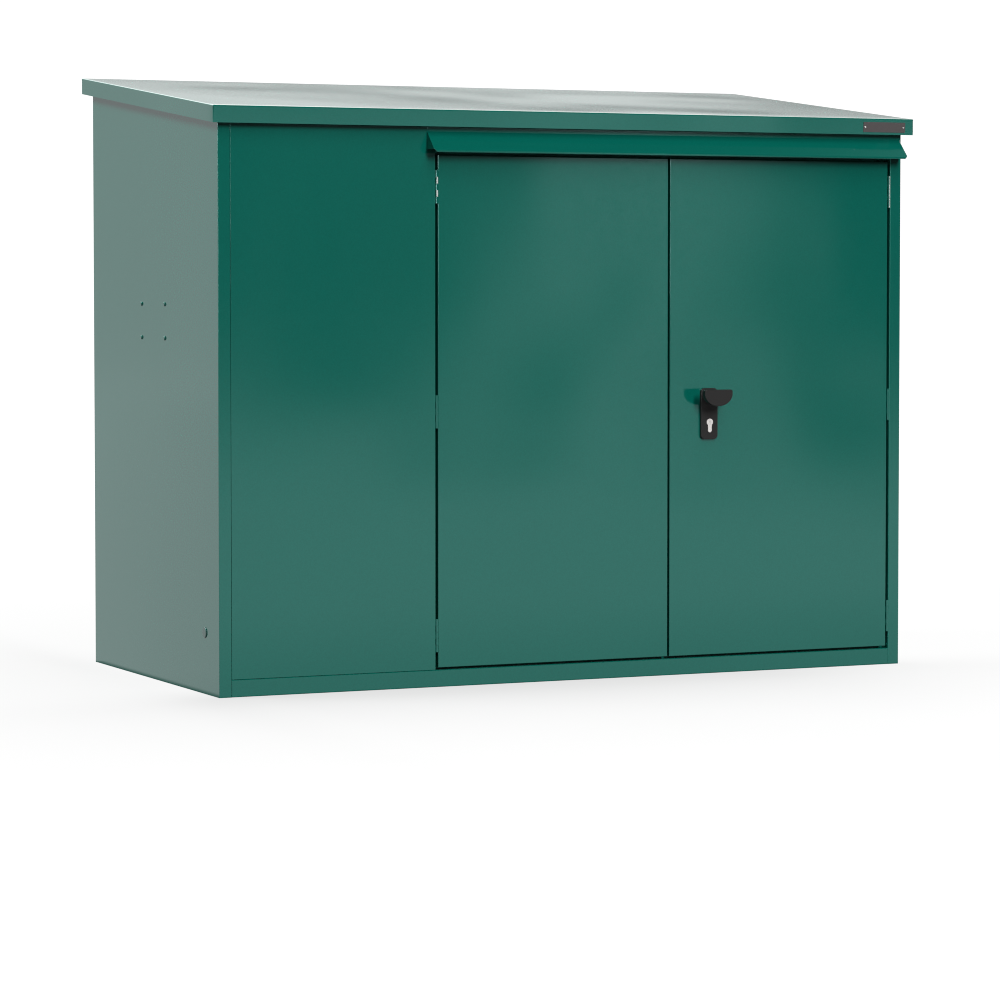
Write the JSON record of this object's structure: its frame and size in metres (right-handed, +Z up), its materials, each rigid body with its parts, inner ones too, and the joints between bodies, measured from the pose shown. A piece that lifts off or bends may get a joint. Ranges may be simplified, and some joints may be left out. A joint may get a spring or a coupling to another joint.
{
  "type": "metal storage shed",
  "caption": "Folded sheet-steel storage shed with a mono-pitch roof falling to the front, a plain front panel, a rain canopy over paired hinged doors and a turning half-moon handle.",
  "frame": {"origin": "middle of the body's footprint at ground level", "axes": "+X to the right seen from the front, +Y from the front to the back, +Z up; the doors are in the -Y face"},
  "size_m": [1.83, 0.9568, 1.4467],
  "materials": {
    "green_powder_coat": "semi-gloss powder coat, fine orange peel",
    "galvanised_steel": "dull galvanised sheet",
    "zinc_steel": "bright zinc plating",
    "black_coated_metal": "satin black coating",
    "nickel": "satin nickel",
    "dark_grey_plate": "anodised dark grey, plain",
    "green_plastic": "moulded, painted over"
  },
  "bodies": {
    "shed": {"back_base_rail": "green_powder_coat", "back_panel_left": "green_powder_coat", "back_panel_right": "green_powder_coat", "cable_hole_plug": "green_plastic", "door_header": "green_powder_coat", "floor_bearers": "galvanised_steel", "floor_panel": "galvanised_steel", "front_base_rail": "green_powder_coat", "front_panel": "green_powder_coat", "left_bottom_hinge_frame_leaf": "green_powder_coat", "left_door_post": "green_powder_coat", "left_middle_hinge_frame_leaf": "green_powder_coat", "left_top_hinge_frame_leaf": "green_powder_coat", "left_wall": "green_powder_coat", "left_wall_bolts": "zinc_steel", "name_plate": "dark_grey_plate", "name_plate_rivets": "zinc_steel", "rain_canopy": "green_powder_coat", "right_bottom_hinge_frame_leaf": "green_powder_coat", "right_door_post": "green_powder_coat", "right_middle_hinge_frame_leaf": "green_powder_coat", "right_top_hinge_frame_leaf": "zinc_steel", "right_wall": "green_powder_coat", "right_wall_bolts": "zinc_steel", "roof_panel": "green_powder_coat", "roof_rib_left": "green_powder_coat", "roof_rib_right": "green_powder_coat"},
    "left_door_leaf": {"left_bottom_hinge_door_leaf": "green_powder_coat", "left_door": "green_powder_coat", "left_door_stiffener": "green_powder_coat", "left_middle_hinge_door_leaf": "green_powder_coat", "left_top_hinge_door_leaf": "zinc_steel"},
    "right_door_leaf": {"handle_plate": "black_coated_metal", "lock_case": "galvanised_steel", "lock_cylinder": "nickel", "right_bottom_hinge_door_leaf": "green_powder_coat", "right_door": "green_powder_coat", "right_door_stiffener": "green_powder_coat", "right_middle_hinge_door_leaf": "green_powder_coat", "right_top_hinge_door_leaf": "zinc_steel"},
    "handle": {"handle_knob": "black_coated_metal"}
  },
  "joints": [
    {"name": "left_door_hinge", "type": "hinge", "parent": "shed", "child": "left_door_leaf", "pos_m": [-0.3545, -0.4385, 0.643], "axis": [0, 0, -1], "range_deg": [0, 110]},
    {"name": "right_door_hinge", "type": "hinge", "parent": "shed", "child": "right_door_leaf", "pos_m": [0.8615, -0.4385, 0.643], "axis": [0, 0, 1], "range_deg": [0, 110]},
    {"name": "handle_turn", "type": "hinge", "parent": "right_door_leaf", "child": "handle", "pos_m": [0.36, -0.458, 0.6735], "axis": [0, 1, 0], "range_deg": [0, 90]}
  ]
}
